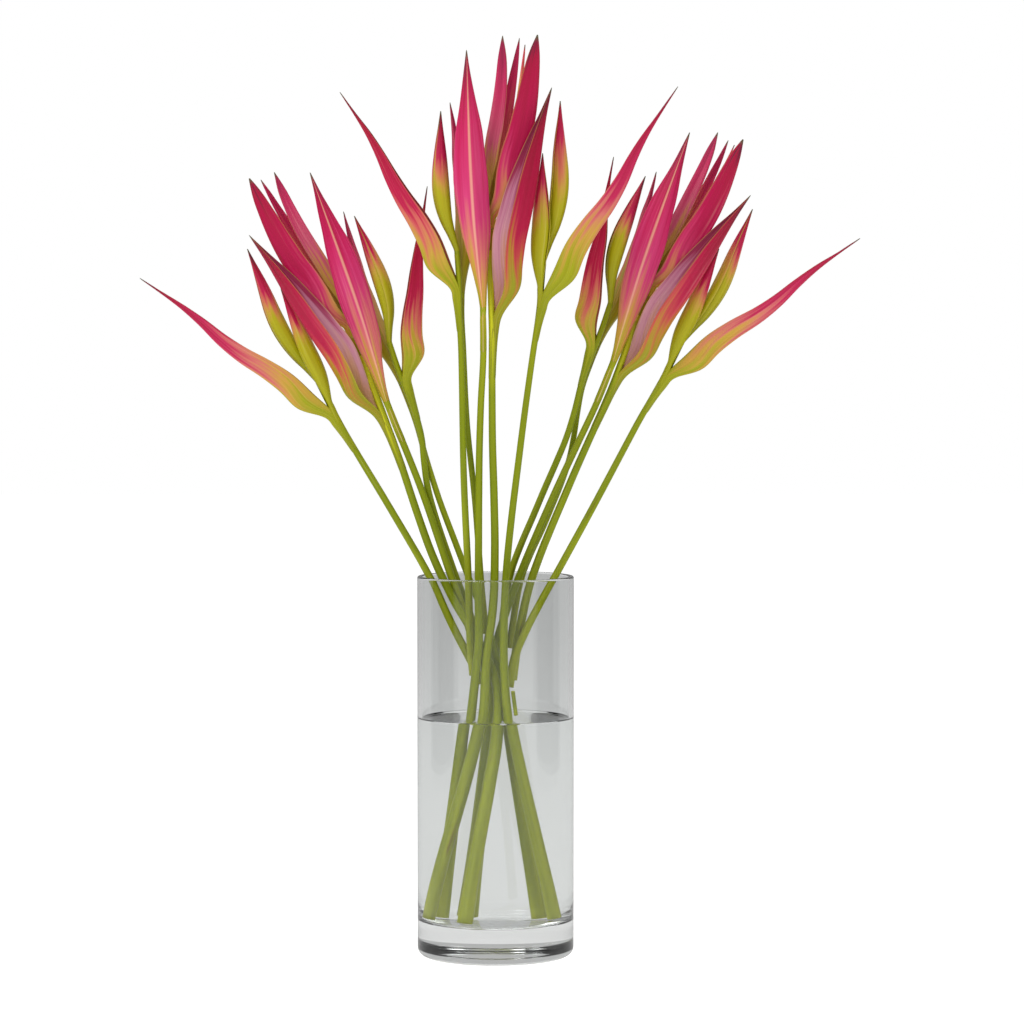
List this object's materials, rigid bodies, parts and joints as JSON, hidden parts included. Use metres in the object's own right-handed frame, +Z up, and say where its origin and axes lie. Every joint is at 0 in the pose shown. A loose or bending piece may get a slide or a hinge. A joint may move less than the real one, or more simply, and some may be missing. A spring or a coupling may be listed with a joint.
{
  "type": "heliconia flowers in a glass cylinder vase",
  "caption": "Bunch of cut heliconia stems with boat-shaped pink and green bracts, standing in a clear glass cylinder vase of water.",
  "frame": {"origin": "centre of the vase's underside, on the surface it stands on", "axes": "+Z up along the vase's axis, +X to the right of the front view, -Y towards the front, where the middle spray stands"},
  "size_m": [0.4723, 0.1082, 0.5963],
  "materials": {
    "clear_glass": "polished clear",
    "water": "clear still water",
    "stem_green": "smooth waxy stem",
    "bract_pink": "satin waxy bract",
    "bud_green": "satin waxy bud"
  },
  "bodies": {
    "root": {"glass_vase": "clear_glass", "left_bud_stem": "stem_green", "left_shade_stem": "stem_green", "left_banner_stem": "stem_green", "left_crown_stem": "stem_green", "left_outer_stem": "stem_green", "middle_bud_stem": "stem_green", "middle_shade_stem": "stem_green", "middle_banner_stem": "stem_green", "middle_crown_stem": "stem_green", "middle_outer_stem": "stem_green", "right_bud_stem": "stem_green", "right_shade_stem": "stem_green", "right_banner_stem": "stem_green", "right_crown_stem": "stem_green", "right_outer_stem": "stem_green", "water": "water", "left_wing_bract": "bract_pink", "left_slim_bud": "bud_green", "left_shade_bract": "bract_pink", "left_banner_bract": "bract_pink", "left_boat_bract": "bract_pink", "left_helm_bract": "bract_pink", "left_slip_bract": "bract_pink", "left_crest_bract": "bract_pink", "left_floret": "bud_green", "left_sweep_bract": "bract_pink", "left_stout_bud": "bud_green", "left_spur_bud": "bud_green", "middle_wing_bract": "bract_pink", "middle_slim_bud": "bud_green", "middle_shade_bract": "bract_pink", "middle_banner_bract": "bract_pink", "middle_boat_bract": "bract_pink", "middle_helm_bract": "bract_pink", "middle_slip_bract": "bract_pink", "middle_crest_bract": "bract_pink", "middle_floret": "bud_green", "middle_sweep_bract": "bract_pink", "middle_stout_bud": "bud_green", "middle_spur_bud": "bud_green", "right_wing_bract": "bract_pink", "right_slim_bud": "bud_green", "right_shade_bract": "bract_pink", "right_banner_bract": "bract_pink", "right_boat_bract": "bract_pink", "right_helm_bract": "bract_pink", "right_slip_bract": "bract_pink", "right_crest_bract": "bract_pink", "right_floret": "bud_green", "right_sweep_bract": "bract_pink", "right_stout_bud": "bud_green", "right_spur_bud": "bud_green", "cut_leaf_sheath": "stem_green"}
  },
  "joints": []
}
